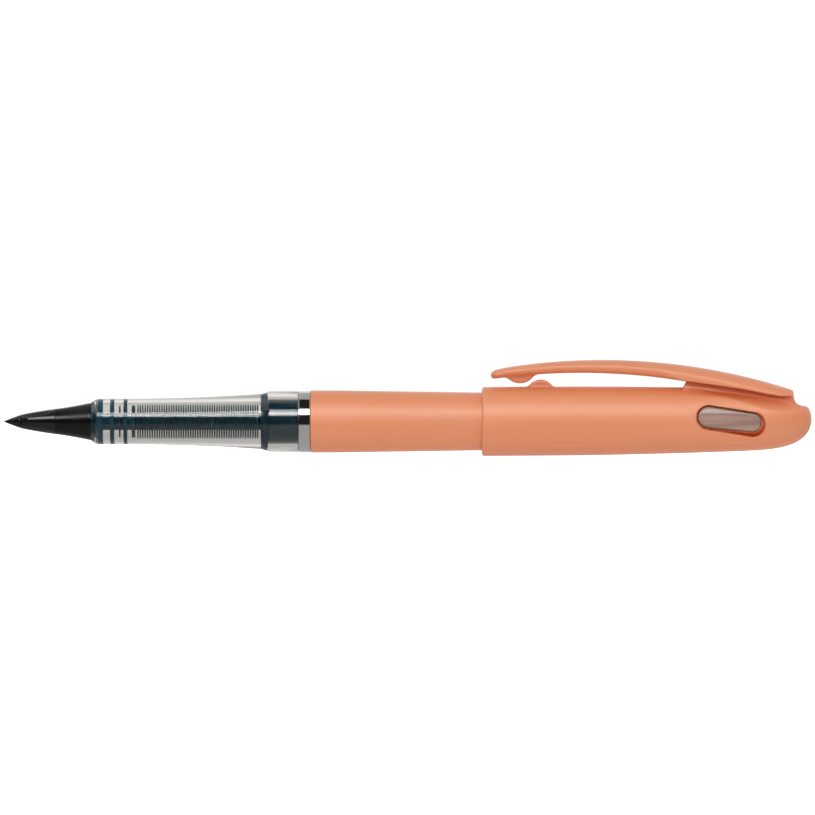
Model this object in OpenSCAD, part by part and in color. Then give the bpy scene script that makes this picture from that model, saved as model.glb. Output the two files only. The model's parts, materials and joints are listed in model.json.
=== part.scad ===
// Posted brush-tip pen: writing unit, barrel, and a clipped cap pushed onto the tail.
// The pen lies along X with its nib towards -X and its clip towards +Z.
// The origin is on the pen's axis, at the barrel's front face.

/* [Barrel] */
// Length of the barrel from its front face to its tail
barrel_len = 72; // [71:0.5:73]
// Radius of the cylindrical land at the barrel's front
barrel_r = 6.03; // [6.00:0.01:6.10]
// Length of that land
land_len = 5; // [4:0.5:6]
// Radius of the tail, where the cap is pushed on
tail_r = 5.2; // [5.15:0.01:5.25]
// Length of the cylindrical part of the tail
tail_land = 11; // [9:0.5:12]

/* [Trim ring] */
// Width of the metal ring between the grip and the barrel
ring_w = 2.4; // [2.2:0.1:2.6]
// Outer radius of the metal ring
ring_r = 5.95; // [5.90:0.01:5.97]

/* [Grip] */
// Length of the clear grip from the ring to its front lip
grip_len = 40.2; // [39.8:0.1:40.6]
// Radius of the grip at the front
grip_front_r = 4.4; // [4.3:0.05:4.5]
// Radius of the grip in front of its collar
grip_rear_r = 5.37; // [5.2:0.05:5.45]
// Radius of the collar
collar_r = 5.86; // [5.80:0.01:5.87]
// Length of the collar
collar_len = 5.6; // [5.4:0.1:5.8]
// Radius of the bore that holds the ink collector
grip_bore_r = 3.35; // [3.30:0.01:3.40]
// Radius of the bore that holds the front of the ink tank
tank_bore_r = 4.4; // [4.38:0.01:4.45]

/* [Screw thread] */
// Lead of the single-start thread
pitch = 1.0; // [0.9:0.1:1.1]
// Number of turns on the grip's spigot
thread_turns = 5; // [4:1:5]

/* [Nib] */
// Distance from the grip's front lip to the tip
nib_reach = 16.9; // [16.5:0.1:17.3]
// Length of the pointed end that stands out of the sheath
point_len = 3.2; // [3.0:0.1:3.4]
// Length of the visible part of the sheath
sheath_len = 6.5; // [6.3:0.1:6.7]
// Radius of the nose cone where it meets the grip
nose_r = 3.66; // [3.6:0.01:3.7]

/* [Ink feed] */
// Number of fins on the ink collector
fin_count = 51; // [48:1:52]
// Distance from one fin to the next
fin_pitch = 0.464; // [0.455:0.001:0.465]
// Radius of the fins
fin_r = 3.3; // [3.25:0.01:3.30]
// Radius of the fibre rod that carries the ink
feed_r = 0.9; // [0.8:0.05:0.95]
// Outer radius of the ink tank
tank_r = 4.34; // [4.30:0.01:4.35]
// Wall thickness of the ink tank
tank_wall = 0.55; // [0.5:0.05:0.6]
// Distance that the tank reaches into the barrel
tank_reach = 52; // [48:1:54]
// Share of the tank's length that ink fills
ink_fill = 0.82; // [0.3:0.01:0.9]

/* [Cap] */
// Length of the cap
cap_len = 63.9; // [63.5:0.1:64.3]
// Length of barrel inside the posted cap
post_depth = 38.8; // [38.5:0.1:39]
// Outer radius at the mouth
cap_r = 6.7; // [6.68:0.01:6.75]
// Bore radius at the mouth
mouth_r = 6.0; // [5.99:0.01:6.02]
// Tilt of the cap's outer form, which lifts its closed end
cap_tilt = 0.35; // [0.3:0.01:0.4]
// Radius of the round ends of the side windows
window_r = 2.4; // [2.3:0.05:2.4]
// Distance between the centres of a window's round ends
window_len = 8.64; // [8.4:0.1:8.7]
// Downward slope of the windows towards the closed end
window_tilt = 9; // [8:0.5:10]

/* [Clip] */
// Height of the clip's crown above the pen's axis
crown_z = 11.95; // [11.9:0.01:12]
// Radius of the clip's bowed back, seen from the side
bow_r = 120; // [119.6:0.1:120.4]
// Radius of the clip's rounded back, seen along the pen
crown_r = 5; // [4.9:0.1:5.1]
// Half the clip's width at its tip
tip_half_w = 2.6; // [2.4:0.1:2.7]
// Half the width where the clip's spine is widest
spine_half_w = 3.9; // [3.7:0.1:4]

/* [Hidden] */
$fn = 96;

// Small distances
running_gap = 0.05;
face_gap = 0.03;
past = 1;

// Stations along the pen
ring_front_x = -ring_w;
lip_x = ring_front_x - grip_len;
tip_x = lip_x - nib_reach;
sheath_x = tip_x + point_len + 0.3;
nose_x = sheath_x + sheath_len;
collar_x = ring_front_x - collar_len;
step_x = collar_x - 1.55;
fins_x = step_x - 0.35 - fin_count * fin_pitch;
spigot_x = 8;

// Thread radii: the two ridges pass each other with 0.1 mm to spare all round
spigot_core_r = 4.95;
spigot_crest_r = 5.25;
socket_crest_r = 5.05;
socket_root_r = 5.35;
ridge_root_w = 0.62;
ridge_crest_w = 0.25;
thread_steps = 36;

// Nib and feed
point_r = 1.3;
point_shank_r = 1.0;
nose_bore_r = 1.95;
sheath_stem_r = 1.9;
nose_tip_r = 2.5;
feed_bore_r = feed_r + running_gap;
feed_x = lip_x - 3.4;
collector_core_r = 1.9;
fin_w = 0.25;
coupler_x = step_x;
coupler_flange = collar_x - face_gap;
tank_bore = tank_r - tank_wall;

// Cap
mouth_x = barrel_len - post_depth;
cap_end_x = mouth_x + cap_len;
seat_r = tail_r + running_gap;
seat_x = barrel_len - tail_land - 0.5;
liner_x = barrel_len + 0.6;
liner_end_x = cap_end_x - 3.9;
window_x = liner_x + 4.4;
window_z = 0.76;
web_half_w = 2.4;
scoop_tilt = 22;

// Clip
bow_x = mouth_x + 23.34;
bow_z = crown_z - bow_r;
under_r = 125.36;
under_x = bow_x - 4.04;
under_z = bow_z - 7.88;
clip_tip_x = mouth_x + 1.35;
knuckle_x = mouth_x + 39.7;
knuckle_z = 9.3;
knuckle_r = 1.4;
spine_end_x = mouth_x + 60.4;

// Turned solid about the pen's axis from a list of [x, radius]
module turned(outline)
    rotate([0, 90, 0]) rotate_extrude() polygon([for (p = outline) [p[1], p[0]]]);

// Cylinder about the pen's axis from one station to another
module rod(x0, x1, r) translate([x0, 0, 0]) rotate([0, 90, 0]) cylinder(r = r, h = x1 - x0);

// Cylinder along Y, centred on the pen's middle plane
module roller(x, z, r, w) translate([x, w / 2, z]) rotate([90, 0, 0]) cylinder(r = r, h = w);

// Right-hand helical ridge about the pen's axis, one ring of four points per step.
// It stands outward where crest_r is the larger radius, and inward where root_r is.
module ridge(root_r, crest_r, x0, turns) {
    steps = thread_steps * turns;
    way = crest_r > root_r ? 1 : -1;
    section = [[-way * ridge_root_w / 2, root_r], [-way * ridge_crest_w / 2, crest_r],
        [way * ridge_crest_w / 2, crest_r], [way * ridge_root_w / 2, root_r]];
    points = [for (i = [0:steps], s = section) let (a = 360 * i / thread_steps)
        [x0 + pitch * i / thread_steps + s[0], s[1] * cos(a), s[1] * sin(a)]];
    sides = [for (i = [0:steps - 1], k = [0:3]) let (a = 4 * i + k, b = 4 * i + (k + 1) % 4)
        each [[a, b, b + 4], [a, b + 4, a + 4]]];
    ends = [[0, 3, 2], [0, 2, 1], [4 * steps, 4 * steps + 1, 4 * steps + 2],
        [4 * steps, 4 * steps + 2, 4 * steps + 3]];
    polyhedron(points = points, faces = concat(sides, ends));
}

// The moulded point: a faceless dart in front and a shank inside the sheath
module writing_point() {
    dart = [for (t = [0:0.125:1]) [tip_x + point_len * t, point_r * pow(t, 0.85)]];
    color([0.09, 0.09, 0.10])
        turned(concat(dart, [[tip_x + point_len, point_shank_r], [feed_x - face_gap, point_shank_r],
            [feed_x - face_gap, 0]]));
}

// Two springy leaves that hold the point from both sides, on a round stem
module nib_sheath() {
    leaf_slot = 0.5;
    outer = [for (t = [0:0.125:1])
        [sheath_x + sheath_len * t, point_r + (nose_tip_r - point_r) * pow(t, 0.82)]];
    bore_r = point_shank_r + running_gap;
    color([0.08, 0.08, 0.09]) difference() {
        turned(concat(outer, [[nose_x, sheath_stem_r], [nose_x + 4.4, sheath_stem_r],
            [nose_x + 4.4, bore_r], [sheath_x, bore_r]]));
        for (side = [-1, 1]) translate([sheath_x - past, -leaf_slot / 2, side > 0 ? 0.4 : -4.4])
            cube([sheath_len - 0.6 + past, leaf_slot, 4]);
    }
}

// Black nose cone with a stem pressed into the grip
module nose_cone() {
    flare = [for (t = [0:0.2:1]) [nose_x + (lip_x - nose_x) * t,
        nose_tip_r + (nose_r - nose_tip_r) * pow(t, 1.2)]];
    stem_r = grip_bore_r - running_gap;
    color([0.10, 0.09, 0.09]) turned(concat(flare, [[lip_x, stem_r], [lip_x + 2.4, stem_r],
        [lip_x + 2.4, 2.2], [lip_x - 2.5, 2.2], [lip_x - 2.5, nose_bore_r], [nose_x, nose_bore_r]]));
}

// Clear grip: lip, waisted body, step, collar, plain seat for the ring and threaded spigot
module grip_section() {
    waist_x = lip_x + 1.3;
    body = [for (t = [0:0.0625:1]) [waist_x + (step_x - waist_x) * t,
        grip_front_r + (grip_rear_r - grip_front_r) * pow(t, 2.4)]];
    outside = concat([[lip_x, nose_r]], body, [[collar_x - 0.2, collar_r - 0.1], [collar_x, collar_r],
        [ring_front_x, collar_r], [ring_front_x, spigot_crest_r], [0.4, spigot_crest_r],
        [0.7, spigot_core_r], [spigot_x, spigot_core_r]]);
    inside = [[spigot_x, tank_bore_r], [step_x, tank_bore_r], [step_x, grip_bore_r], [lip_x, grip_bore_r]];
    color([0.80, 0.78, 0.74, 0.5]) {
        turned(concat(outside, inside));
        ridge(spigot_core_r - 0.1, spigot_crest_r, 1.3, thread_turns);
    }
}

// Comb of fine fins on a core, with heavier discs in front
module ink_collector() {
    front_x = lip_x + 2.5;
    discs = [[3.65, 0.75, fin_r], [5.45, 0.3, 3.1], [6.3, 0.7, fin_r], [7.95, 0.78, 3.1]];
    disc_teeth = [for (d = discs) each tooth(lip_x + d[0], d[1], d[2])];
    fin_teeth = [for (i = [0:fin_count - 1]) each tooth(fins_x + i * fin_pitch, fin_w, fin_r)];
    end_x = coupler_x - face_gap;
    color([0.12, 0.22, 0.30]) turned(concat([[front_x, feed_bore_r], [front_x, collector_core_r]],
        disc_teeth, fin_teeth, [[end_x, collector_core_r], [end_x, feed_bore_r]]));
}

// Outline of one disc that stands out of the collector's core
function tooth(x, w, r) = [[x, collector_core_r], [x, r], [x + w, r], [x + w, collector_core_r]];

// Fibre rod from the tank through the collector to the point
module feed_rod() color([0.25, 0.25, 0.28]) rod(feed_x, collar_x + 3.5, feed_r);

// Stopper that joins the collector to the tank
module tank_coupler() {
    stub_r = tank_bore - running_gap;
    color([0.10, 0.14, 0.18]) turned([[coupler_x, feed_bore_r], [coupler_x, tank_bore_r - running_gap],
        [coupler_flange, tank_bore_r - running_gap], [coupler_flange, stub_r], [collar_x + 2.6, stub_r],
        [collar_x + 3, stub_r - 0.4], [collar_x + 3, feed_bore_r]]);
}

// Thin tube that holds the ink, open at the rear until its plug goes in
module ink_tank() color([0.16, 0.30, 0.38, 0.8])
    turned([[collar_x, tank_bore], [collar_x, tank_r], [tank_reach, tank_r], [tank_reach, tank_bore]]);

// Plug that closes the rear of the tank
module tank_plug() {
    plug_r = tank_bore - running_gap;
    flange_x = tank_reach + face_gap;
    color([0.85, 0.85, 0.84]) turned([[tank_reach - 3, 0], [tank_reach - 3, plug_r - 0.3],
        [tank_reach - 2.6, plug_r], [flange_x, plug_r], [flange_x, tank_r - 0.1],
        [flange_x + 1, tank_r - 0.1], [flange_x + 1, 0]]);
}

// The ink itself
module ink_charge() {
    ink_x0 = collar_x + 3.6;
    ink_x1 = ink_x0 + ink_fill * (tank_reach - 3 - ink_x0);
    color([0.05, 0.15, 0.25]) rod(ink_x0, ink_x1, tank_bore - running_gap);
}

// Bright ring that sits on the grip's seat, between the collar and the barrel
module trim_ring() {
    bevel = 0.12;
    bore_r = spigot_crest_r + running_gap;
    x0 = ring_front_x + face_gap;
    x1 = -face_gap;
    color([0.80, 0.80, 0.82]) turned([[x0, bore_r], [x0, ring_r - bevel], [x0 + bevel, ring_r],
        [x1 - bevel, ring_r], [x1, ring_r - bevel], [x1, bore_r]]);
}

// Barrel: land, long taper, tail land and a rounded closed end
module barrel() {
    round_r = 1;
    tail_x = barrel_len - tail_land;
    tail = [for (a = [0:15:90])
        [barrel_len - round_r + round_r * sin(a), tail_r - round_r + round_r * cos(a)]];
    outside = concat([[0, barrel_r], [land_len, barrel_r], [tail_x, tail_r]], tail);
    inside = [[barrel_len, 0], [barrel_len - 1.2, 0], [barrel_len - 1.2, 4.1],
        [barrel_len - 1.5, tail_r - 0.8], [9.4, 4.85], [9.1, socket_root_r], [0, socket_root_r]];
    color([0.90, 0.55, 0.40]) {
        turned(concat(outside, inside));
        ridge(socket_root_r + 0.1, socket_crest_r, 1.3 + pitch / 2, thread_turns);
    }
}

// Radius of the cap's outer form at a distance s from its mouth: a long taper that ends in a dome
function cap_outer_r(s) =
    let (taper = max(0, (s - 11.8) / 40), dome = max(0, (s - 48.8) / (cap_len - 48.8)))
    (cap_r - 0.7 * taper * taper) * pow(1 - pow(min(1, dome), 4), 1 / 2.2);

// Solid outer form of the cap, drawn in by an inset and tilted about its mouth
module cap_form(inset) {
    long = [for (s = [0.5:4:48.5]) [s, cap_outer_r(s) - inset]];
    end = [for (a = [0:6:90]) let (s = 48.8 + (cap_len - 48.8) * sin(a))
        [s, max(0, cap_outer_r(s) - inset)]];
    translate([mouth_x, 0, 0]) rotate([0, -cap_tilt, 0])
        turned(concat([[0, 0], [0, cap_r - 0.4 - inset], [0.12, cap_r - 0.12 - inset]], long, end));
}

// Bowed bar with a rounded back: the clip and the spine behind it, before they are cut to length
module clip_bar(x0, x1) {
    plan = [[clip_tip_x, 1.2], [clip_tip_x + 0.7, tip_half_w - 0.4], [clip_tip_x + 2, tip_half_w],
        [knuckle_x - 9, 3.35], [knuckle_x + 10, spine_half_w], [spine_end_x - 4, spine_half_w - 0.2],
        [spine_end_x - 1.2, spine_half_w - 0.7], [spine_end_x, spine_half_w - 1.8]];
    intersection() {
        translate([bow_x, 0, bow_z]) rotate([90, 0, 0]) rotate_extrude($fn = 360)
            translate([bow_r - crown_r, 0]) circle(crown_r);
        linear_extrude(20)
            polygon(concat(plan, [for (i = [len(plan) - 1:-1:0]) [plan[i][0], -plan[i][1]]]));
        translate([x0, -10, 0]) cube([x1 - x0, 20, 20]);
    }
}

// Oblong prism along Y for the windows and the raised panes behind them
module oblong(r, y0, y1) translate([window_x, y1, window_z]) rotate([90, window_tilt, 0]) {
    cylinder(r = r, h = y1 - y0);
    translate([window_len, 0, 0]) cylinder(r = r, h = y1 - y0);
    translate([0, -r, 0]) cube([window_len, 2 * r, y1 - y0]);
}

// Prism beside the web, on the side given, from a side outline measured from the cap's mouth.
// A tilt makes it fall away from the middle.
module side_cut(side, outline, tilt) mirror([0, side > 0 ? 0 : 1, 0])
    translate([mouth_x, web_half_w, 0]) intersection() {
        translate([0, 0, -2]) cube([cap_len + 4, 9, 20]);
        rotate([90 - tilt, 0, 0]) linear_extrude(30, center = true) polygon(outline);
    }

// Spine behind the clip, undercut on both sides of a web and hollowed in front for the clip's knuckle
module spine() {
    below_edge = [[39, -1], [39, 7.82], [46, 7.0], [52, 5.95], [55.7, 5.15], [58.5, 4.85], [62, 5.1],
        [62, -1]];
    difference() {
        clip_bar(knuckle_x, spine_end_x);
        roller(knuckle_x, knuckle_z, knuckle_r + running_gap, 12);
        side_cut(1, below_edge, 0);
        side_cut(-1, below_edge, 0);
    }
}

// Outer form with a sunken floor on both sides of the web, falling away from the middle
module sunken_form() {
    above_floor = [[38, 12], [38, 6.7], [43.2, 5.55], [47.3, 5.05], [51.4, 4.15], [55.1, 3.3], [57.8, 2.9],
        [61.7, 2.65], [66, 2.5], [66, 12]];
    difference() {
        cap_form(0);
        side_cut(1, above_floor, scoop_tilt);
        side_cut(-1, above_floor, scoop_tilt);
    }
}

// Cap: outer form with the spine and a small lug on its back, hollowed for the barrel and the inner cap
module cap_shell() {
    lug_r = 2.76;
    end_step = [[60.4, 8], [60.4, 4.6], [60.7, 3.9], [61.1, 3.45], [61.7, 3.15], [62.6, 2.95], [63.4, 2.8],
        [66, 2.7], [66, 8]];
    bore = [[mouth_x - past, mouth_r], [mouth_x + 9, mouth_r], [seat_x, seat_r], [liner_x + 1.6, seat_r],
        [liner_x + 3.4, 4.8], [liner_end_x, 3.2], [liner_end_x + 0.6, 2.6], [liner_end_x + 0.6, 0]];
    color([0.90, 0.55, 0.40]) difference() {
        union() {
            sunken_form();
            spine();
            intersection() {
                roller(mouth_x + 11.4, 8.13 - lug_r, lug_r, 3);
                translate([mouth_x, -3, 5]) cube([20, 6, 5]);
            }
        }
        turned(concat(bore, [[mouth_x - past, 0]]));
        translate([mouth_x, 6, 0]) rotate([90, 0, 0]) linear_extrude(12) polygon(end_step);
        for (side = [-1, 1]) mirror([0, side > 0 ? 1 : 0, 0]) oblong(window_r, 1.5, 8);
    }
}

// Clear inner cap with a raised pane in each window
module inner_cap() {
    flange_r = seat_r - running_gap;
    outside = [[liner_x, flange_r], [liner_x + 1.5, flange_r], [liner_x + 3.3, 4.7],
        [liner_end_x - 0.3, 3.1], [liner_end_x + 0.3, 2.5], [liner_end_x + 0.3, 0]];
    inside = [[liner_end_x - 0.6, 0], [liner_end_x - 0.6, 2.1], [liner_x + 4, 4.0], [liner_x + 3, 4.45],
        [liner_x, 4.5]];
    color([0.85, 0.78, 0.76, 0.6]) difference() {
        union() {
            turned(outside);
            for (side = [-1, 1]) intersection() {
                mirror([0, side > 0 ? 1 : 0, 0]) oblong(window_r - 0.55, 1.5, 8);
                cap_form(0.6);
            }
        }
        turned(concat(inside, [[liner_x, 0]]));
    }
}

// Springy arm of the clip, from its round knuckle to its tip, with the bump that grips a pocket
module clip_arm() {
    bump_r = 3.2;
    color([0.90, 0.55, 0.40]) {
        difference() {
            clip_bar(clip_tip_x, knuckle_x - 0.2);
            roller(under_x, under_z, under_r, 30, $fn = 720);
        }
        intersection() {
            roller(knuckle_x, knuckle_z, knuckle_r, 12);
            clip_bar(knuckle_x - 2, knuckle_x + 2);
        }
        intersection() {
            roller(mouth_x + 7.8, 7.4 + bump_r, bump_r, 3);
            translate([mouth_x, -3, 5]) cube([20, 6, 4.4]);
        }
    }
}

writing_point();
nib_sheath();
nose_cone();
grip_section();
ink_collector();
feed_rod();
tank_coupler();
ink_tank();
tank_plug();
ink_charge();
trim_ring();
barrel();
cap_shell();
inner_cap();
clip_arm();
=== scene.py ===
"""Posted brush-tip pen: the visible pieces, their materials, and a plain studio round them.

Shapes are worked out in millimetres, in the frame's own axes: X along the pen, with the nib at -X, and Z
towards the clip.
"""
import json
import math

import bmesh
import bpy
import numpy as np
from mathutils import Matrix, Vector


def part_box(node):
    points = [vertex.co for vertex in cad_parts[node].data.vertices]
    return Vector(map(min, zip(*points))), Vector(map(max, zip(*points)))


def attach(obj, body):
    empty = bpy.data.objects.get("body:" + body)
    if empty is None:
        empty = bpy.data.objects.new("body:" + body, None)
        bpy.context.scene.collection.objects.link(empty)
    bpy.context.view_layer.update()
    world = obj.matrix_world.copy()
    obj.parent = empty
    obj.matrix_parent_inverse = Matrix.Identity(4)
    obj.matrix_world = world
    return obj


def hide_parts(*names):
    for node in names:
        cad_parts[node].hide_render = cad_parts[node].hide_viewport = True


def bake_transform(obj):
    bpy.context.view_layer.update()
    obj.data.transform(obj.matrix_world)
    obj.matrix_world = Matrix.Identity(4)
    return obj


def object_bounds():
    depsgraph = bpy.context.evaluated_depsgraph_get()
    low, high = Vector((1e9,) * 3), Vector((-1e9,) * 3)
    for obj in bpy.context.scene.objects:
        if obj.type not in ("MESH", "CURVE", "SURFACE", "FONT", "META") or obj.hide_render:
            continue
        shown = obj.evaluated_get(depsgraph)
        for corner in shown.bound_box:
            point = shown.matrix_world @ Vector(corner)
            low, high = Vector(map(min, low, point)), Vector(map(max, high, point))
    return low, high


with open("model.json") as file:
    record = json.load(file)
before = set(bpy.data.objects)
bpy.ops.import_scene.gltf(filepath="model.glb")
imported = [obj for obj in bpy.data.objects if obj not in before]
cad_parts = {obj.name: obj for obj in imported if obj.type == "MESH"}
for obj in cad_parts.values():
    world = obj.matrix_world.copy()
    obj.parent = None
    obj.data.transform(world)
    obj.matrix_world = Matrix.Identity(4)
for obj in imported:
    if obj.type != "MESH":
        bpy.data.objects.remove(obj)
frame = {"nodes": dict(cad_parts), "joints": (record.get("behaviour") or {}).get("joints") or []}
cad_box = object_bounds()
MM = 0.001


def span(node, axis=0):
    """A CAD node's lowest and highest coordinate along an axis, in millimetres."""
    low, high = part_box(node)
    return low[axis] / MM, high[axis] / MM


# ---------------------------------------------------------------- stations and radii
# From the frame, in millimetres. Names that end in X are places along the pen.
TIP_X, POINT_END_X = span("writing_point")
SHEATH_X = span("nib_sheath")[0]
NOSE_X = span("nose_cone")[0]
LIP_X, SPIGOT_X = span("grip_section")
RING_X0, RING_X1 = span("trim_ring")
COLLAR_R = span("grip_section", 2)[1]
RING_R = span("trim_ring", 2)[1]
BARREL_X, TAIL_X = span("barrel")
BARREL_R = span("barrel", 2)[1]
STEP_X, COUPLER_END_X = span("tank_coupler")
FINS_END_X = span("ink_collector")[1]
TANK_X, TANK_END_X = span("ink_tank")
TANK_R = span("ink_tank", 2)[1]
MOUTH_X, CAP_END_X = span("cap_shell")
LINER_X, LINER_END_X = span("inner_cap")
CLIP_TIP_X = span("clip_arm")[0]
KNUCKLE = [joint["pos_m"] for joint in frame["joints"] if joint["name"] == "clip_flex"][0]
ROOT_X = KNUCKLE[0] / MM

COLLAR_X = TANK_X
CAP_LEN = CAP_END_X - MOUTH_X

# Sizes inside a node, which its box doesn't give
NOSE_R = 3.66
NOSE_FRONT_R = 2.46
WAIST_R = 4.4
COLLAR_FRONT_R = 5.37
GRIP_BORE_R = 3.35
TANK_BORE_R = 4.4
TANK_WALL = 0.55
FEED_BORE_R = 0.95
SPIGOT_R = 5.25
THREAD_CORE_R = 4.95
THREAD_PITCH = 1.0
THREAD_TURNS = 5
THREAD_START_X = 1.3
CAP_R = 6.7
CAP_TILT = math.tan(math.radians(0.35))

# How far the leaves of the nib reach forward of the CAD sheath, over the end of the point's dart
LEAF_REACH = 0.3
DART_TIP_R, DART_BASE_R = 0.02, 1.28


# ---------------------------------------------------------------- mesh helpers
def arc_corner(before, corner, after, radius, steps):
    """Points that round one corner of an outline, or the corner itself where it is nearly straight."""
    nearly_straight, edge_share = math.radians(84), 0.45
    a, b, c = np.array(before, float), np.array(corner, float), np.array(after, float)
    to_a, to_c = a - b, c - b
    len_a, len_c = np.linalg.norm(to_a), np.linalg.norm(to_c)
    to_a, to_c = to_a / len_a, to_c / len_c
    half = math.acos(max(-1.0, min(1.0, float(to_a @ to_c)))) / 2
    if half > nearly_straight:
        return [tuple(b)]
    cut = min(radius / math.tan(half), edge_share * len_a, edge_share * len_c)
    start, end = b + to_a * cut, b + to_c * cut
    return [tuple((1 - t) ** 2 * start + 2 * t * (1 - t) * b + t * t * end)
            for t in np.linspace(0, 1, steps)]


def soften(outline, radius=0.06, steps=4, closed=True):
    """The outline with its corners rounded. An open outline keeps its two ends."""
    count = len(outline)
    soft = []
    for i, point in enumerate(outline):
        if not closed and i in (0, count - 1):
            soft.append(tuple(point))
        else:
            soft += arc_corner(outline[i - 1], point, outline[(i + 1) % count], radius, steps)
    return soft


def new_piece(name, vertices, faces, smooth=True):
    """A mesh object from points in millimetres. Coincident points are welded."""
    mesh = bpy.data.meshes.new(name)
    mesh.from_pydata([tuple(float(v) * MM for v in p) for p in vertices], [], faces)
    cleaner = bmesh.new()
    cleaner.from_mesh(mesh)
    bmesh.ops.remove_doubles(cleaner, verts=cleaner.verts, dist=1e-7)
    bmesh.ops.recalc_face_normals(cleaner, faces=cleaner.faces)
    cleaner.to_mesh(mesh)
    cleaner.free()
    mesh.polygons.foreach_set("use_smooth", [smooth] * len(mesh.polygons))
    piece = bpy.data.objects.new(name, mesh)
    bpy.context.scene.collection.objects.link(piece)
    return piece


def lathe(name, outline, closed=True, segments=128, shape=None):
    """Turns an outline of (x, radius) about the pen's axis. shape(x, angle, radius) may change a radius."""
    rings = len(outline)
    vertices, faces = [], []
    for x, radius in outline:
        for j in range(segments):
            angle = 2 * math.pi * j / segments
            r = shape(x, angle, radius) if shape else radius
            vertices.append((x, r * math.cos(angle), r * math.sin(angle)))
    for i in range(rings if closed else rings - 1):
        row, following = i * segments, (i + 1) % rings * segments
        for j in range(segments):
            k = (j + 1) % segments
            faces.append((row + j, row + k, following + k, following + j))
    return new_piece(name, vertices, faces)


def join(name, pieces):
    """One piece from several, kept as separate shells in one mesh."""
    merged = bmesh.new()
    for piece in pieces:
        merged.from_mesh(piece.data)
    mesh = bpy.data.meshes.new(name)
    merged.to_mesh(mesh)
    merged.free()
    for piece in pieces:
        bpy.data.objects.remove(piece)
    joined = bpy.data.objects.new(name, mesh)
    bpy.context.scene.collection.objects.link(joined)
    return joined


def helix_ridge(name, root_r, crest_r, start_x):
    """Right-hand thread of trapezium section, which rises over a quarter turn at each end."""
    steps = 48
    foot, crest = 0.31, 0.13
    section = [(-foot, 0), (-crest, 1), (crest, 1), (foot, 0)]
    vertices, faces = [], []
    rings = steps * THREAD_TURNS + 1
    for i in range(rings):
        angle = 2 * math.pi * i / steps
        rise = min(1.0, i / (steps / 4), (rings - 1 - i) / (steps / 4))
        for dx, share in section:
            r = root_r + (crest_r - root_r) * share * rise
            x = start_x + THREAD_PITCH * i / steps + dx
            vertices.append((x, r * math.cos(angle), r * math.sin(angle)))
    for i in range(rings - 1):
        for k in range(4):
            a, b = 4 * i + k, 4 * i + (k + 1) % 4
            faces.append((a, b, b + 4, a + 4))
    last = 4 * (rings - 1)
    faces += [(3, 2, 1, 0), (last, last + 1, last + 2, last + 3)]
    return new_piece(name, vertices, faces, smooth=False)


# ---------------------------------------------------------------- shapes from distance fields
def smax(a, b, k):
    """Larger of two distances, with the crease rounded over a width k."""
    h = np.clip(0.5 + 0.5 * (a - b) / k, 0, 1)
    return b + (a - b) * h + k * h * (1 - h)


def smin(a, b, k):
    """Smaller of two distances, with the crease filled over a width k."""
    return -smax(-a, -b, k)


def curve(x, points):
    """Smooth curve through a few (x, value) points, level with its ends outside them."""
    px, py = np.array(points, float).T
    slopes = np.gradient(py, px)
    i = np.clip(np.searchsorted(px, x) - 1, 0, len(px) - 2)
    width = px[i + 1] - px[i]
    t = np.clip((x - px[i]) / width, 0, 1)
    a, b = py[i], py[i + 1]
    da, db = slopes[i] * width, slopes[i + 1] * width
    return a + t * (da + t * (3 * (b - a) - 2 * da - db + t * (2 * (a - b) + da + db)))


def field_piece(name, field, low, high, step):
    """Mesh of the surface where field(x, y, z) is zero.

    Each grid cell that the surface crosses gets one point, the mean of the crossings on its edges. Each
    grid edge that it crosses gets one face, between the four cells round that edge. The points are then
    drawn onto the surface.
    """
    axes = [np.arange(lo, hi + step, step) for lo, hi in zip(low, high)]
    x, y, z = np.meshgrid(*axes, indexing="ij", sparse=True)
    values = np.broadcast_to(field(x, y, z), [len(a) for a in axes])
    inside = values < 0
    cells = tuple(n - 1 for n in values.shape)
    total, count = np.zeros(cells + (3,)), np.zeros(cells)
    corner = {}
    for i, j, k in np.ndindex(2, 2, 2):
        corner[i, j, k] = (slice(i, i + cells[0]), slice(j, j + cells[1]), slice(k, k + cells[2]))
    for a in corner:
        for axis in range(3):
            if a[axis]:
                continue
            b = tuple(1 if n == axis else v for n, v in enumerate(a))
            va, vb = values[corner[a]], values[corner[b]]
            crosses = inside[corner[a]] != inside[corner[b]]
            t = np.where(crosses, va / np.where(crosses, va - vb, 1), 0)
            for n in range(3):
                total[..., n] += crosses * (a[n] + (t if n == axis else 0))
            count += crosses
    used = count > 0
    index = np.full(cells, -1)
    index[used] = np.arange(used.sum())
    where = np.argwhere(used)
    points = np.array(low) + (where + total[used] / count[used][:, None]) * step
    faces = []
    for axis in range(3):
        u, v = (axis + 1) % 3, (axis + 2) % 3
        first = [slice(None)] * 3
        second = [slice(None)] * 3
        first[axis], second[axis] = slice(0, -1), slice(1, None)
        change = inside[tuple(first)] != inside[tuple(second)]
        found = np.argwhere(change)
        found = found[(found[:, u] > 0) & (found[:, v] > 0)]
        found = found[(found[:, u] < cells[u]) & (found[:, v] < cells[v])]
        shift_u, shift_v = np.eye(3, dtype=int)[u], np.eye(3, dtype=int)[v]
        quad = [found, found - shift_u, found - shift_u - shift_v, found - shift_v]
        quad = np.stack([index[tuple(q.T)] for q in quad], axis=1)
        flip = inside[tuple(found.T)]
        quad[flip] = quad[flip][:, ::-1]
        faces.append(quad)
    small, passes, least_slope = step * 0.05, 4, 0.05
    for _ in range(passes):
        here = field(*points.T)
        slope = np.stack([(field(*(points + small * e).T) - field(*(points - small * e).T)) / (2 * small)
                          for e in np.eye(3)], axis=1)
        move = here / np.maximum((slope ** 2).sum(1), least_slope)
        points = points - np.clip(move, -step / 2, step / 2)[:, None] * slope
    return new_piece(name, points, np.concatenate(faces).tolist())


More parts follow.
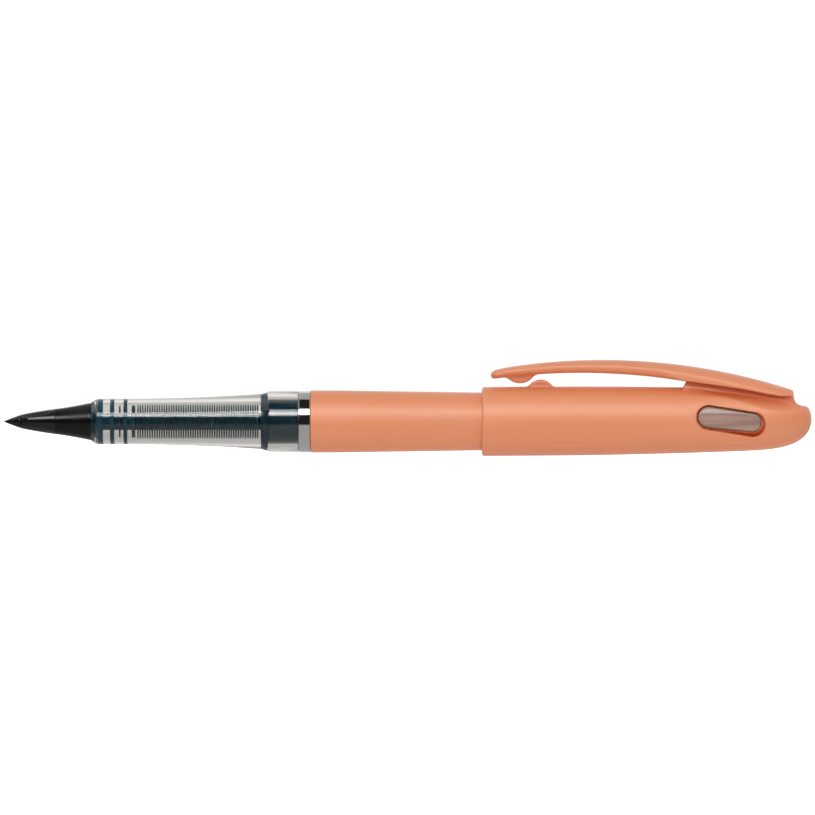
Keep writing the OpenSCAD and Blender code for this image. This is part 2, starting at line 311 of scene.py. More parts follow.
# ---------------------------------------------------------------- node helpers
def add_node(material, kind, **inputs):
    """A shader node with its input sockets set by name or linked to another node's output."""
    node = material.node_tree.nodes.new(kind)
    for socket, value in inputs.items():
        target = node.inputs[socket.replace("_", " ")]
        if isinstance(value, bpy.types.NodeSocket):
            material.node_tree.links.new(value, target)
        else:
            target.default_value = value
    return node


def noise(material, size_mm, detail=4.0, stretch=(1, 1, 1)):
    """Noise in the frame's own coordinates, with features about size_mm across."""
    place = add_node(material, "ShaderNodeTexCoord")
    mapping = add_node(material, "ShaderNodeMapping", Vector=place.outputs["Object"], Scale=stretch)
    texture = add_node(material, "ShaderNodeTexNoise", Vector=mapping.outputs["Vector"],
                       Scale=1 / (size_mm * MM), Detail=detail, Roughness=0.55)
    return texture.outputs["Fac"]


def spread(material, value, low, high, edges=(0.35, 0.65)):
    """A noise value taken from its usual edges to the range from low to high."""
    node = add_node(material, "ShaderNodeMapRange", Value=value, From_Min=edges[0], From_Max=edges[1],
                    To_Min=low, To_Max=high)
    return node.outputs["Result"]


def tint(material, factor, first, second):
    """Blend from a first colour to a second by a factor. Either may be another node's output."""
    node = material.node_tree.nodes.new("ShaderNodeMix")
    node.data_type = "RGBA"
    links = material.node_tree.links
    factor_socket, first_socket, second_socket = node.inputs[0], node.inputs[6], node.inputs[7]
    links.new(factor, factor_socket)
    for socket, colour in ((first_socket, first), (second_socket, second)):
        if isinstance(colour, bpy.types.NodeSocket):
            links.new(colour, socket)
        else:
            socket.default_value = (*colour, 1)
    return node.outputs[2]


def bump(material, height, depth_mm):
    """Bump normal from a height value that stands depth_mm high."""
    return add_node(material, "ShaderNodeBump", Height=height, Distance=depth_mm * MM).outputs["Normal"]


def surface(name, **sockets):
    """A material with a Principled shader, its constant sockets set by name."""
    material = bpy.data.materials.new(name)
    material.use_nodes = True
    shader = material.node_tree.nodes["Principled BSDF"]
    for socket, value in sockets.items():
        shader.inputs[socket.replace("_", " ")].default_value = value
    return material, shader


def feed(material, shader, **links):
    """Links outputs to the shader's sockets by name."""
    for socket, output in links.items():
        material.node_tree.links.new(output, shader.inputs[socket.replace("_", " ")])


def sums(owner, operation, *values):
    """Output of a Math node."""
    node = owner.node_tree.nodes.new("ShaderNodeMath")
    node.operation = operation
    for socket, value in zip(node.inputs, values):
        if isinstance(value, bpy.types.NodeSocket):
            owner.node_tree.links.new(value, socket)
        else:
            socket.default_value = value
    return node.outputs[0]


def levels(owner, position, stops, ends):
    """Brightness at a position from 0 to 1, by a ramp whose stops are places between the two ends."""
    node = add_node(owner, "ShaderNodeValToRGB", Fac=position)
    ramp = node.color_ramp.elements
    ramp.remove(ramp[1])
    for i, (place, level) in enumerate(stops):
        at = (place - ends[0]) / (ends[1] - ends[0])
        stop = ramp.new(at) if i else ramp[0]
        stop.position = at
        stop.color = (level, level, level, 1)
    return node.outputs["Color"]


# ---------------------------------------------------------------- materials
def moulded_plastic(name, light, dark, roughness, grain_mm, grain_depth_mm, recess_shade_colour=None, **sockets):
    """Satin moulded plastic: fine spark texture, faint flow variation, and edges rubbed a little brighter.

    In recesses the colour deepens to a given painted shade colour, and the coat fades: both are painted
    shade, found by ambient occlusion, for the shade and deep bounce light that fall there.
    """
    material, shader = surface(name, **sockets)
    flow = noise(material, size_mm=9.0, detail=2.0, stretch=(0.35, 1, 1))
    colour = tint(material, spread(material, flow, 0, 1), dark, light)
    worn = add_node(material, "ShaderNodeNewGeometry").outputs["Pointiness"]
    rubbed = [c * 1.12 + 0.02 for c in light]
    colour = tint(material, spread(material, worn, 0, 0.35, edges=(0.52, 0.60)), colour, rubbed)
    if recess_shade_colour:
        # Painted shade: where ambient occlusion finds a recess, the colour is pulled to a deep shade colour
        # and the coat fades
        depth = add_node(material, "ShaderNodeAmbientOcclusion", Distance=3 * MM)
        depth.samples, depth.only_local = 8, True
        unshaded_share = spread(material, depth.outputs["AO"], 0, 1, edges=(0.60, 0.97))
        colour = tint(material, unshaded_share, recess_shade_colour, colour)
        feed(material, shader, Coat_Weight=unshaded_share)
    grain = noise(material, grain_mm, detail=3.0)
    patches = noise(material, size_mm=2.2, detail=3.0)
    feed(material, shader, Base_Color=colour,
         Roughness=spread(material, patches, roughness - 0.03, roughness + 0.03),
         Normal=bump(material, grain, grain_depth_mm))
    return material


def clear_plastic(name, colour, roughness, streak, streak_mm, stretch, **sockets):
    """Clear moulding: faint waviness, slightly uneven polish, and streaks that are a darker share. Faint
    streaks are flow streaks; strong ones, as on the liner, are painted reflection streaks.
    """
    material, shader = surface(name, IOR=1.45, **sockets)
    waves = noise(material, streak_mm, detail=1.0, stretch=stretch)
    feed(material, shader,
         Base_Color=tint(material, spread(material, waves, 0, 1), colour, [c * streak for c in colour]),
         Roughness=spread(material, noise(material, size_mm=1.4), roughness, roughness + 0.03),
         Normal=bump(material, waves, depth_mm=0.00025))
    return material


def bright_metal(name, colour):
    """Bright plating with hairlines from polishing round the ring."""
    material, shader = surface(name, Metallic=1.0)
    hairlines = noise(material, size_mm=0.3, detail=3.0, stretch=(6, 0.15, 0.15))
    feed(material, shader,
         Base_Color=tint(material, spread(material, hairlines, 0, 1), colour, [c * 0.96 for c in colour]),
         Roughness=spread(material, hairlines, 0.04, 0.09),
         Normal=bump(material, hairlines, depth_mm=0.0006))
    return material


# In its hollows the coral gets a painted shade, a deep red-orange, for the shade under the clip's spine and
# round the windows
CORAL = moulded_plastic("coral_plastic", (0.745, 0.220, 0.067), (0.720, 0.208, 0.062), roughness=0.45,
                        grain_mm=0.16, grain_depth_mm=0.008, recess_shade_colour=(0.47, 0.055, 0.004),
                        Specular_IOR_Level=0.5, Coat_Roughness=0.63, Coat_IOR=1.90, Sheen_Weight=0.12,
                        Sheen_Roughness=0.35)
BLACK_SATIN = moulded_plastic("black_satin", (0.006, 0.005, 0.005), (0.003, 0.002, 0.002), roughness=0.22,
                              grain_mm=0.30, grain_depth_mm=0.010, Specular_IOR_Level=0.25)
BLACK_GLOSS = moulded_plastic("black_gloss", (0.006, 0.006, 0.007), (0.003, 0.003, 0.004), roughness=0.16,
                              grain_mm=0.20, grain_depth_mm=0.002, Specular_IOR_Level=0.4)
NAVY = moulded_plastic("collector_plastic", (0.028, 0.136, 0.214), (0.020, 0.106, 0.168), roughness=0.45,
                       grain_mm=0.20, grain_depth_mm=0.002, Specular_IOR_Level=0.15)
INK_BLUE = moulded_plastic("tank_ink", (0.018, 0.066, 0.104), (0.014, 0.052, 0.084), roughness=0.14,
                           grain_mm=0.50, grain_depth_mm=0.002, Specular_IOR_Level=0.35)
CLEAR = clear_plastic("clear_grip", (0.87, 0.845, 0.805), roughness=0.01, streak=0.985, streak_mm=3.0,
                      stretch=(0.3, 1, 1), Transmission_Weight=1.0)
# The liner's strong streaks, long along the pen, are painted reflection streaks, standing in for those that
# its tapered wall reflects
LINER = clear_plastic("clear_liner", (0.68, 0.44, 0.36), roughness=0.18, streak=0.68, streak_mm=1.1,
                      stretch=(0.07, 1, 1), Transmission_Weight=0.45)
METAL = bright_metal("bright_ring", (0.68, 0.67, 0.665))
WHITE_PLUG = moulded_plastic("plug_plastic", (0.72, 0.72, 0.70), (0.66, 0.66, 0.64), roughness=0.40,
                             grain_mm=0.20, grain_depth_mm=0.006)
FIBRE = moulded_plastic("fibre", (0.030, 0.040, 0.055), (0.015, 0.020, 0.030), roughness=0.80,
                        grain_mm=0.10, grain_depth_mm=0.030)


def dress(piece, material, body, node):
    """Gives a piece its material, its body and the CAD node that it stands for."""
    piece.data.materials.append(material)
    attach(piece, body)
    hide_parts(node)


def redress(node, material):
    """Gives a carried-over CAD node a better material."""
    for slot in frame["nodes"][node].material_slots:
        slot.material = material


# ---------------------------------------------------------------- nib
def make_point():
    """A slender dart, with a shank that runs back inside the sheath."""
    shank_r = 1.0
    dart_end_x = SHEATH_X - LEAF_REACH
    length = dart_end_x - TIP_X
    dart = [(TIP_X + length * t ** 1.15, DART_TIP_R + (DART_BASE_R - DART_TIP_R) * t ** 0.98)
            for t in np.linspace(0, 1, 18)]
    back = [(dart_end_x + 0.06, 1.2), (dart_end_x + 0.1, shank_r), (POINT_END_X, shank_r)]
    outline = [(TIP_X - 0.01, 0.0)] + dart + back + [(POINT_END_X, 0.0)]
    piece = lathe("nib_point", outline, closed=False, segments=96)
    dress(piece, BLACK_GLOSS, "writing_unit", "writing_point")


def make_sheath():
    """Two raised leaves, one on each side of the point, with a slot where they meet its dart."""
    bore_r, socket_r, socket_len = 1.05, 1.9, 4
    leaf_rise, leaf_edge = 0.17, 0.10
    slot_depth, slot_len, slot_half_height = 0.3, 0.4, 0.75
    front_x = SHEATH_X - LEAF_REACH
    length = NOSE_X - front_x

    def leaf(x, angle, radius):
        """The radius with the leaves raised from it and their slot cut into it."""
        if x > NOSE_X or radius < bore_r + 0.1:
            return radius
        t = (x - front_x) / length
        height = abs(radius * math.sin(angle))
        half_height = 0.80 + 0.75 * t + 1.2 * t ** 8
        rise = max(0.0, min(1.0, (half_height - height) / leaf_edge + 0.5))
        rise *= rise * (3 - 2 * rise) * (1 - math.sin(angle) ** 8)
        slot = max(0.0, 1 - (x - front_x) / slot_len) if height < slot_half_height else 0.0
        return radius + leaf_rise * rise * min(1, 5 * t) - slot_depth * slot

    outer = [(front_x + length * t, DART_BASE_R + 1.2 * t ** 0.82) for t in np.linspace(0, 1, 60)]
    outline = outer + [(NOSE_X + 0.02, socket_r), (NOSE_X + socket_len, socket_r),
                       (NOSE_X + socket_len, bore_r), (front_x, bore_r)]
    piece = lathe("nib_leaves", outline, segments=160, shape=leaf)
    dress(piece, BLACK_GLOSS, "writing_unit", "nib_sheath")


def make_nose():
    """The flared cone between the sheath and the grip, hollow from behind."""
    bore_r, hollow_len = 1.95, 2.5
    front_x = NOSE_X - 0.05
    flare = [(NOSE_X + (LIP_X - NOSE_X) * t, NOSE_FRONT_R + (NOSE_R - NOSE_FRONT_R) * t ** 1.18)
             for t in np.linspace(0, 1, 16)]
    hollow = [(LIP_X, 2.3), (LIP_X - hollow_len, 2.2), (LIP_X - hollow_len, bore_r)]
    outline = [(front_x, bore_r), (front_x, NOSE_FRONT_R - 0.06)] + flare + hollow
    piece = lathe("nose_cone_piece", soften(outline, 0.04))
    dress(piece, BLACK_SATIN, "writing_unit", "nose_cone")


# ---------------------------------------------------------------- clear grip and what shows through it
def make_grip():
    """The clear grip: lip, waist, flare, collar and threaded spigot, with a stepped bore."""
    waist_x = LIP_X + 1.25
    shoulder_x = RING_X0 - 0.03
    body = [(waist_x + (STEP_X - waist_x) * t, WAIST_R + (COLLAR_FRONT_R - WAIST_R) * t ** 2.4)
            for t in np.linspace(0, 1, 40)]
    outside = [(LIP_X, NOSE_R + 0.02), (LIP_X + 0.35, NOSE_R + 0.30)] + body
    outside += [(COLLAR_X - 0.25, COLLAR_R - 0.08), (COLLAR_X, COLLAR_R), (shoulder_x, COLLAR_R),
                (shoulder_x, SPIGOT_R), (0.4, SPIGOT_R), (0.7, THREAD_CORE_R), (SPIGOT_X, THREAD_CORE_R)]
    inside = [(SPIGOT_X, TANK_BORE_R), (STEP_X, TANK_BORE_R), (STEP_X, GRIP_BORE_R), (LIP_X, GRIP_BORE_R)]
    shell = lathe("grip_shell", soften(outside + inside, 0.09, 5), segments=192)
    thread = helix_ridge("grip_thread", THREAD_CORE_R - 0.1, SPIGOT_R, THREAD_START_X)
    piece = join("grip_clear", [shell, thread])
    dress(piece, CLEAR, "writing_unit", "grip_section")


def make_collector():
    """Core with a neck in the grip's lip, five heavier discs behind it, and then a row of fine fins."""
    core_r, neck_r, bevel = 1.65, 2.05, 0.03
    wet_r = GRIP_BORE_R + 0.03
    discs = [(1.30, 1.06, wet_r), (3.75, 0.80, wet_r), (5.48, 0.30, 3.1), (6.35, 0.72, wet_r),
             (7.95, 0.66, 3.15)]
    fin_count, fin_pitch, fin_width, fin_r = 51, 0.464, 0.23, 3.29
    first_fin_x = FINS_END_X - 0.32 - fin_count * fin_pitch

    def tooth(x, width, radius):
        """Outline of one disc or fin, with its edges bevelled."""
        return [(x, core_r), (x, radius - bevel), (x + bevel, radius), (x + width - bevel, radius),
                (x + width, radius - bevel), (x + width, core_r)]

    outline = [(LIP_X + 0.02, FEED_BORE_R), (LIP_X + 0.02, neck_r), (LIP_X + 1.26, neck_r)]
    for start, width, radius in discs:
        outline += tooth(LIP_X + start, width, radius)
    for i in range(fin_count):
        outline += tooth(first_fin_x + i * fin_pitch, fin_width, fin_r)
    outline += [(FINS_END_X, core_r), (FINS_END_X, FEED_BORE_R)]
    piece = lathe("collector_fins", outline, segments=128)
    dress(piece, NAVY, "writing_unit", "ink_collector")


def make_coupler():
    """Flange seated against the grip's step, so that it shows right across it."""
    seat_r, stub_r = TANK_BORE_R + 0.03, 3.6
    front_x, back_x = STEP_X - 0.02, COLLAR_X - 0.05
    outline = [(front_x, FEED_BORE_R), (front_x, seat_r), (back_x, seat_r), (back_x, stub_r + 0.1),
               (COUPLER_END_X, stub_r), (COUPLER_END_X, FEED_BORE_R)]
    piece = lathe("coupler_flange", soften(outline, 0.05))
    dress(piece, INK_BLUE, "writing_unit", "tank_coupler")


def make_tank():
    """The ink tank's tube, whose front end shows through the collar."""
    inner_r = TANK_R - TANK_WALL
    outline = [(TANK_X, inner_r), (TANK_X, TANK_R), (TANK_END_X, TANK_R), (TANK_END_X, inner_r)]
    piece = lathe("tank_tube", soften(outline, 0.15, 6))
    dress(piece, INK_BLUE, "writing_unit", "ink_tank")


# ---------------------------------------------------------------- ring and barrel
def make_ring():
    """The bright ring, bevelled at both edges."""
    bore_r, bevel = 5.3, 0.14
    outline = [(RING_X0, bore_r), (RING_X0, RING_R - bevel), (RING_X0 + bevel, RING_R),
               (RING_X1 - bevel, RING_R), (RING_X1, RING_R - bevel), (RING_X1, bore_r)]
    piece = lathe("bright_ring_piece", soften(outline, 0.06), segments=192)
    dress(piece, METAL, "ring", "trim_ring")


def make_barrel():
    """The barrel: front land, taper and round tail outside, and threaded socket and well inside."""
    land_len, tail_len, tail_r, round_r = 5, 11, 5.2, 1
    socket_r, socket_end_x, well_r, well_end_x = 5.35, 9.1, 4.85, TAIL_X - 1.2
    inside = [(well_end_x, 0.0), (well_end_x, 4.1), (well_end_x - 0.3, tail_r - 0.8),
              (socket_end_x + 0.3, well_r), (socket_end_x, socket_r), (BARREL_X, socket_r)]
    outside = [(BARREL_X, BARREL_R), (BARREL_X + land_len, BARREL_R), (TAIL_X - tail_len, tail_r)]
    tail = [(TAIL_X - round_r + round_r * math.sin(a), tail_r - round_r + round_r * math.cos(a))
            for a in np.linspace(0, math.pi / 2, 10)]
    outline = inside + outside + tail + [(TAIL_X, 0.0)]
    shell = lathe("barrel_shell", soften(outline, 0.10, 5, closed=False), closed=False, segments=160)
    thread = helix_ridge("barrel_thread", socket_r + 0.1, 5.05, THREAD_START_X + THREAD_PITCH / 2)
    dress(join("barrel_piece", [shell, thread]), CORAL, "barrel", "barrel")


# ---------------------------------------------------------------- cap, clip and inner cap
# The clip's back, bowed along the pen and rounded across it
CROWN_Z, BOW_R, CROWN_R = 11.95, 120.0, 5.0
BOW_X = MOUTH_X + 23.34
BOW_Z = CROWN_Z - BOW_R
# The clip's lower face is a flatter bow than its back, and its centre is offset from the back's
UNDER_R, UNDER_DX, UNDER_DZ = 125.36, -4.04, -7.88
TIP_DIP, TIP_DIP_LEN = 0.25, 4
WEB_HALF_W = 2.4
SPINE_LEN = 60.4
SPINE_END_X = MOUTH_X + SPINE_LEN
WINDOW_X, WINDOW_Z = MOUTH_X + 43.8, 0.76
WINDOW_R, WINDOW_LEN = 2.4, 8.64
WINDOW_TILT = math.radians(9)
# The cap's outer form: where its taper and its dome start, in millimetres from the mouth
TAPER_START, DOME_START = 11.8, 48.8
LUG_X, LUG_R, LUG_TOP_Z = MOUTH_X + 11.4, 2.76, 8.13
BUMP_X, BUMP_R, BUMP_LOW_Z = MOUTH_X + 7.4, 3.2, 7.4
KNOB_HALF_W = 1.5
# A pane and its seat keep this far or more to the side of the cap's middle plane
SIDE_Y = 1.5
# How far the grids of these pieces reach past their ends
GRID_MARGIN = 0.6

# Profiles along the cap: each point is a distance from the mouth, and a height, a slope or a radius there
SPINE_UNDER = [(39.7, 7.79), (46, 6.9), (52, 5.95), (55.7, 5.2), (58.5, 4.88), (SPINE_LEN, 5.0)]
FLOOR_MIDDLE = [(38, 7.2), (43.2, 6.0), (48.1, 5.5), (51.4, 5.1), (55.1, 4.6), (57.8, 4.2), (61.7, 3.2),
                (64, 2.9)]
FLOOR_FALL = [(38, 0.40), (43.2, 0.42), (48.1, 0.50), (51.4, 0.62), (55.1, 0.74), (57.8, 0.77), (61.7, 0.75)]
END_STEP = [(SPINE_LEN, 4.7), (60.6, 4.05), (60.95, 3.55), (61.6, 3.2), (62.6, 3.0), (63.4, 2.85),
            (65, 2.75)]
BORE_END = 60.6
BORE = [(9, 6.0), (27.3, 5.25), (41, 5.25), (42.8, 4.8), (60, 3.2), (BORE_END, 2.6)]


def off_axis(y, z):
    """Distance from the axis, kept just above zero so that its slope stays defined there."""
    return np.sqrt(y ** 2 + z ** 2 + 1e-9)


def cap_outside(x, y, z, inset=0.0):
    """Distance from the cap's outer form: a long taper that ends in a dome, about a slightly raised axis.

    The dome is a superellipse with the two powers below, and its value is divided by its slope.
    """
    round_power, long_power, least_slope = 2.2, 4, 0.08
    s = x - MOUTH_X
    across = off_axis(y, z - s * CAP_TILT)
    radius = CAP_R - inset - 0.7 * np.maximum(0, (s - TAPER_START) / 40) ** 2
    dome_len = CAP_LEN - inset - DOME_START
    dome = np.maximum(0, (s - DOME_START) / dome_len)
    value = (across / radius) ** round_power + dome ** long_power - 1
    slope = np.hypot(round_power * (across / radius) ** (round_power - 1) / radius,
                     long_power * dome ** (long_power - 1) / dome_len)
    return value / np.maximum(slope, least_slope)


def crown(x, y):
    """Height of the clip's rounded back, which dips a little at the tip."""
    bow = BOW_Z + np.sqrt(BOW_R ** 2 - (x - BOW_X) ** 2)
    dip = TIP_DIP * np.clip((CLIP_TIP_X + TIP_DIP_LEN - x) / TIP_DIP_LEN, 0, 1) ** 2
    return bow - dip - CROWN_R + np.sqrt(np.maximum(CROWN_R ** 2 - y ** 2, 0.2))


def half_width(x):
    """Half the clip's width, rounded off at both ends."""
    width = curve(x, [(CLIP_TIP_X, 2.55), (CLIP_TIP_X + 6, 2.75), (MOUTH_X + 30, 3.35), (MOUTH_X + 50, 3.9),
                      (SPINE_END_X, 3.7)])
    tip_loss, end_loss = 1.7, 1.9
    tip = np.clip((CLIP_TIP_X + 1.9 - x) / 2.0, 0, 1)
    end = np.clip((x - SPINE_END_X + 2.2) / 2.3, 0, 1)
    return width - tip_loss * (1 - np.sqrt(1 - tip ** 2)) - end_loss * (1 - np.sqrt(1 - end ** 2))


def low_edge(x):
    """Height of the clip's lower face: a flatter bow under the arm, then the lower edge of the spine."""
    arm = BOW_Z + UNDER_DZ + np.sqrt(UNDER_R ** 2 - (x - BOW_X - UNDER_DX) ** 2)
    return np.where(x < ROOT_X, arm, curve(x - MOUTH_X, SPINE_UNDER))


def floor_height(x, y):
    """Height of the sunken floor beside the spine, which falls away from the web on both sides."""
    s = x - MOUTH_X
    return curve(s, FLOOR_MIDDLE) - curve(s, FLOOR_FALL) * (np.abs(y) - WEB_HALF_W)


def window_axes(x, z):
    """Place along the window, the nearest place on its middle line, and the height above that line."""
    dx, dz = x - WINDOW_X, z - WINDOW_Z
    along = dx * math.cos(WINDOW_TILT) - dz * math.sin(WINDOW_TILT)
    return along, np.clip(along, 0, WINDOW_LEN), dx * math.sin(WINDOW_TILT) + dz * math.cos(WINDOW_TILT)


def window_distance(x, z):
    """Distance from the oblong outline of the side windows."""
    along, nearest, across = window_axes(x, z)
    return np.hypot(along - nearest, across) - WINDOW_R


def pane_distance(x, z):
    """Distance from the outline of a window's pane, which narrows and rises a little towards its end."""
    gap, rise, narrowing = 0.32, 0.10, 0.32
    along, nearest, across = window_axes(x, z)
    nearest = np.minimum(nearest, WINDOW_LEN - 0.2)
    change = narrowing * nearest / WINDOW_LEN
    return np.hypot(along - nearest, across - rise - change) - (WINDOW_R - gap - change)


def cap_field(x, y, z):
    """The cap: outer form, sunken floor, the spine's core, end step, lug, mouth, bore and windows."""
    wide, s = np.abs(y), x - MOUTH_X

    # the outer form, cut down to the sunken floor on both sides of the web
    above_floor = np.maximum(floor_height(x, y) - z, WEB_HALF_W - wide)
    body = smax(cap_outside(x, y, z), -above_floor, 0.12)

    # the web and the core of the spine, just inside the clip's own surface, behind a slanted front
    inset = 0.12
    under = smin(low_edge(x) + inset - z, wide - WEB_HALF_W, 1.1)
    spine = np.maximum(z - crown(x, y) + inset, wide - half_width(x) + inset)
    spine = np.maximum(smax(spine, under, 0.1), x - SPINE_END_X + inset)
    front = ROOT_X + 0.5 * (z - 7.9) - x
    with_spine = smax(smin(body, np.maximum(spine, -z), 1.3), front, 0.15)
    shape = np.minimum(body, with_spine)

    # the step behind the spine, the lug and the rounded mouth
    shape = smax(shape, -np.maximum(SPINE_END_X - x, 0.7 * (curve(s, END_STEP) - z)), 0.2)
    lug = smax(np.hypot(x - LUG_X, z - LUG_TOP_Z + LUG_R) - LUG_R, wide - KNOB_HALF_W, 0.5)
    shape = smin(shape, np.maximum(lug, 5 - z), 0.5)
    shape = smax(shape, MOUTH_X - x, 0.55)

    # the bore, the seats of the panes, and a ledge round each that follows the outer form
    bore_r = np.interp(s, *zip(*BORE))
    shape = smax(shape, -np.maximum(off_axis(y, z) - bore_r, s - BORE_END), 0.15)
    seat = np.maximum(pane_distance(x, z) - 0.04, SIDE_Y - wide)
    shape = smax(shape, -seat, 0.05)
    return smax(shape, -np.maximum(window_distance(x, z), -cap_outside(x, y, z, 1.0)), 0.25)


def clip_field(x, y, z):
    """The clip's arm and the spine that it runs into, with the bump under its tip."""
    wide = np.abs(y)
    bar = smax(z - crown(x, y), wide - half_width(x), 0.45)
    bar = smax(bar, low_edge(x) - z, np.clip(0.3 * (ROOT_X - x), 0.3, 1.5))
    bar = smax(bar, CLIP_TIP_X - x, 1.5)
    bar = smax(bar, x - SPINE_END_X, 0.35)
    knob = smax(np.hypot(x - BUMP_X, z - BUMP_LOW_Z - BUMP_R) - BUMP_R, wide - KNOB_HALF_W, 0.5)
    return smin(bar, np.maximum(knob, z - BUMP_LOW_Z - 2), 0.7)


def liner_field(x, y, z):
    """The inner cap: a tapered cup with a raised pane in each window."""
    across, t = off_axis(y, z), x - LINER_X
    end = LINER_END_X - LINER_X
    floor = end - 0.9
    outer_r = np.interp(t, [0, 1.5, 3.3, end - 0.6, end], [5.2, 5.2, 4.7, 3.1, 2.5])
    inner_r = np.interp(t, [0, 3, 4, floor], [4.5, 4.45, 4.0, 2.1])
    cup = smax(across - outer_r, np.maximum(-t, t - end), 0.3)
    pane = smax(pane_distance(x, z), cap_outside(x, y, z, 0.6), 0.3)
    pane = np.maximum(pane, SIDE_Y - np.abs(y))
    return smax(smin(cup, pane, 0.3), -np.maximum(across - inner_r, t - floor), 0.1)


def make_cap():
    """The cap's shell, with the core of its spine."""
    cap = field_piece("cap_body", cap_field, (MOUTH_X - GRID_MARGIN, -7.3, -7.3),
                      (CAP_END_X + GRID_MARGIN, 7.3, 12.4), step=0.2)
    dress(cap, CORAL, "cap", "cap_shell")


def make_clip():
    """The clip: its arm and the spine that it runs into, with the bump under its tip."""
    clip = field_piece("clip_bar", clip_field, (CLIP_TIP_X - GRID_MARGIN, -4.6, 3.9),
                       (SPINE_END_X + GRID_MARGIN, 4.6, 12.6), step=0.16)
    clip.data.materials.append(CORAL)
    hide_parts("clip_arm")
    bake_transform(clip)


def make_inner_cap():
    """The clear inner cap, whose panes show in the cap's windows."""
    liner = field_piece("liner_cup", liner_field, (LINER_X - GRID_MARGIN, -6.6, -5.6),
                        (LINER_END_X + GRID_MARGIN, 6.6, 5.6), step=0.2)
    dress(liner, LINER, "cap", "inner_cap")


# ---------------------------------------------------------------- studio
# The light round the pen, as stops of (place, level). A band's places go round the pen's axis, in degrees
# from straight in front, upwards over the pen and on round the back. The places of ends and sides go along
# the axis, from 0, square to it, to 1, straight along it, and the strip's are signed, with -1 at the nib.
TURN_RANGE, SIGNED_RANGE, SIDE_RANGE = (-180, 180), (-1, 1), (0, 1)
STRIP_BRIGHTNESS = 11.8
STRIP_BAND = [(-180, 0.0), (26, 0.0), (28, 1.0), (46, 1.0), (48, 0.0), (180, 0.0)]
STRIP_ENDS = [(-1, 0.0), (-0.48, 0.0), (-0.36, 1.0), (0.12, 1.0), (0.22, 0.0), (1, 0.0)]
SURROUND_BRIGHTNESS = 1.2
SURROUND_BAND = [(-180, 0.82), (-165, 0.56), (-100, 0.48), (-14, 0.46), (-11, 0.02), (90, 0.02), (95, 0.52),
                 (132, 0.55), (150, 1.08), (180, 0.90)]
SURROUND_SIDES = [(0, 1.0), (0.3, 1.0), (0.85, 0.6), (1.0, 0.4)]
TOP_BRIGHTNESS = 1.15
TOP_BAND = [(-180, 0.0), (46, 0.0), (54, 1.0), (104, 1.0), (122, 0.0), (180, 0.0)]
TOP_SIDES = [(0, 0.0), (0.26, 0.0), (0.36, 1.0), (0.8, 1.0), (1.0, 0.3)]
FLOOR_HALF = 3000
FLOOR_GLOW, FLOOR_CAMERA_GLOW = 0.58, 0.4
BACKDROP_BRIGHTNESS = 1.05


def make_floor():
    """Pale floor under the pen, which glows more brightly to the camera than onto the pen."""
    floor_z = cad_box[0][2] / MM
    corners = [(-1, -1), (1, -1), (1, 1), (-1, 1)]
    points = [(FLOOR_HALF * x, FLOOR_HALF * y, floor_z) for x, y in corners]
    floor = new_piece("floor", points, [(0, 1, 2, 3)], smooth=False)
    material, shader = surface("pale_floor", Roughness=0.9, Specular_IOR_Level=0.0,
                               Emission_Color=(1, 1, 1, 1))
    grain = noise(material, size_mm=4.0)
    seen = add_node(material, "ShaderNodeLightPath").outputs["Is Camera Ray"]
    feed(material, shader,
         Base_Color=tint(material, spread(material, grain, 0, 1), (0.54, 0.54, 0.54), (0.56, 0.56, 0.56)),
         Emission_Strength=sums(material, "MULTIPLY_ADD", seen, FLOOR_CAMERA_GLOW, FLOOR_GLOW))
    floor.data.materials.append(material)
    floor.visible_glossy = floor.visible_transmission = False


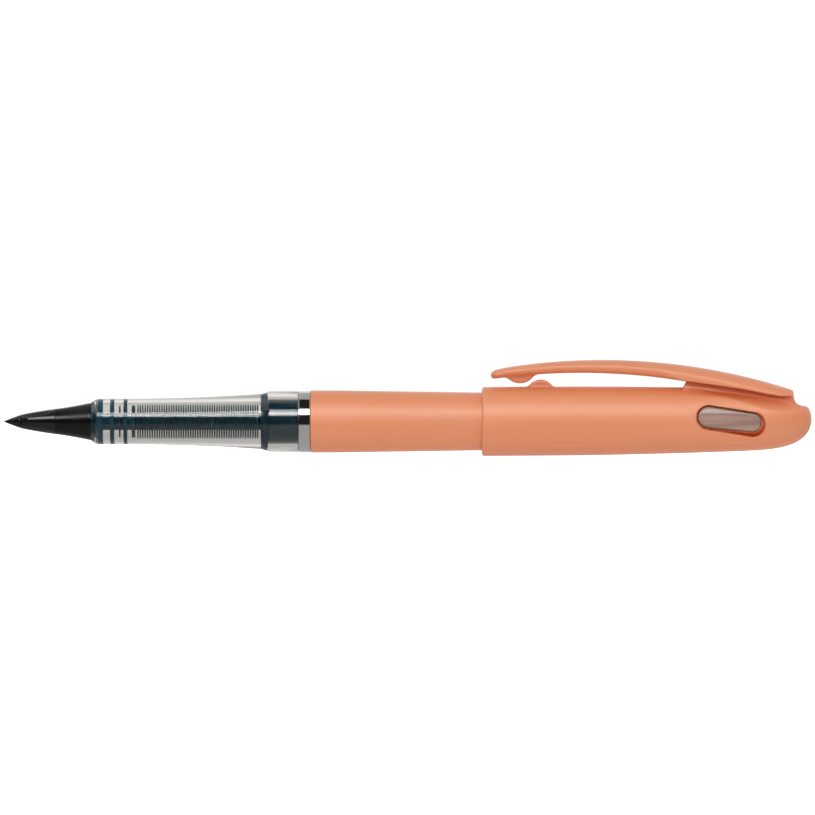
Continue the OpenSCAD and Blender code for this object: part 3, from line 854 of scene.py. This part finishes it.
def make_lights():
    """A soft strip, a dim surround and a fill from above, behind a plain backdrop that the camera sees."""
    world = bpy.data.worlds.new("studio")
    bpy.context.scene.world = world
    world.use_nodes = True
    world.node_tree.nodes.clear()
    place = add_node(world, "ShaderNodeTexCoord")
    parts = add_node(world, "ShaderNodeSeparateXYZ", Vector=place.outputs["Generated"])
    forward = sums(world, "MULTIPLY", parts.outputs["Y"], -1)
    angle = sums(world, "ARCTAN2", parts.outputs["Z"], forward)
    turn = spread(world, angle, 0, 1, edges=(-math.pi, math.pi))
    along = spread(world, parts.outputs["X"], 0, 1, edges=(-1, 1))
    sideways = sums(world, "ABSOLUTE", parts.outputs["X"])

    def light(band, lengthwise, stops, ends, brightness):
        """One light's strength: its band round the axis, by its stops along the axis."""
        shape = sums(world, "MULTIPLY", levels(world, turn, band, TURN_RANGE),
                     levels(world, lengthwise, stops, ends))
        return sums(world, "MULTIPLY", shape, brightness)

    strip = light(STRIP_BAND, along, STRIP_ENDS, SIGNED_RANGE, STRIP_BRIGHTNESS)
    around = light(SURROUND_BAND, sideways, SURROUND_SIDES, SIDE_RANGE, SURROUND_BRIGHTNESS)
    top = light(TOP_BAND, sideways, TOP_SIDES, SIDE_RANGE, TOP_BRIGHTNESS)
    total = sums(world, "ADD", sums(world, "ADD", strip, around), top)
    glow = add_node(world, "ShaderNodeBackground", Strength=total)
    # the camera sees a plain white backdrop in place of those lights
    plain = add_node(world, "ShaderNodeBackground", Color=(1, 1, 1, 1), Strength=BACKDROP_BRIGHTNESS)
    rays = add_node(world, "ShaderNodeLightPath")
    either = add_node(world, "ShaderNodeMixShader", Fac=rays.outputs["Is Camera Ray"])
    add_node(world, "ShaderNodeOutputWorld", Surface=either.outputs[0])
    world.node_tree.links.new(glow.outputs[0], either.inputs[1])
    world.node_tree.links.new(plain.outputs[0], either.inputs[2])


def make_camera():
    """Level camera square to the pen, with a long lens."""
    data = bpy.data.cameras.new("camera")
    data.lens, data.sensor_width = 300, 36
    view_width, side_shift, height = 158.1, -0.05, 2.72
    distance = view_width * data.lens / data.sensor_width
    camera = bpy.data.objects.new("camera", data)
    low, high = cad_box
    camera.location = ((low[0] + high[0]) / 2 + side_shift * MM, -distance * MM, height * MM)
    camera.rotation_euler = (math.pi / 2, 0, 0)
    data.clip_start, data.clip_end = 0.1, 20
    bpy.context.scene.collection.objects.link(camera)
    bpy.context.scene.camera = camera
    bpy.context.scene.view_settings.view_transform = "Standard"


make_point()
make_sheath()
make_nose()
make_grip()
make_collector()
make_coupler()
make_tank()
make_ring()
make_barrel()
make_cap()
make_clip()
make_inner_cap()
redress("feed_rod", FIBRE)
redress("tank_plug", WHITE_PLUG)
redress("ink_charge", INK_BLUE)
make_floor()
make_lights()
make_camera()
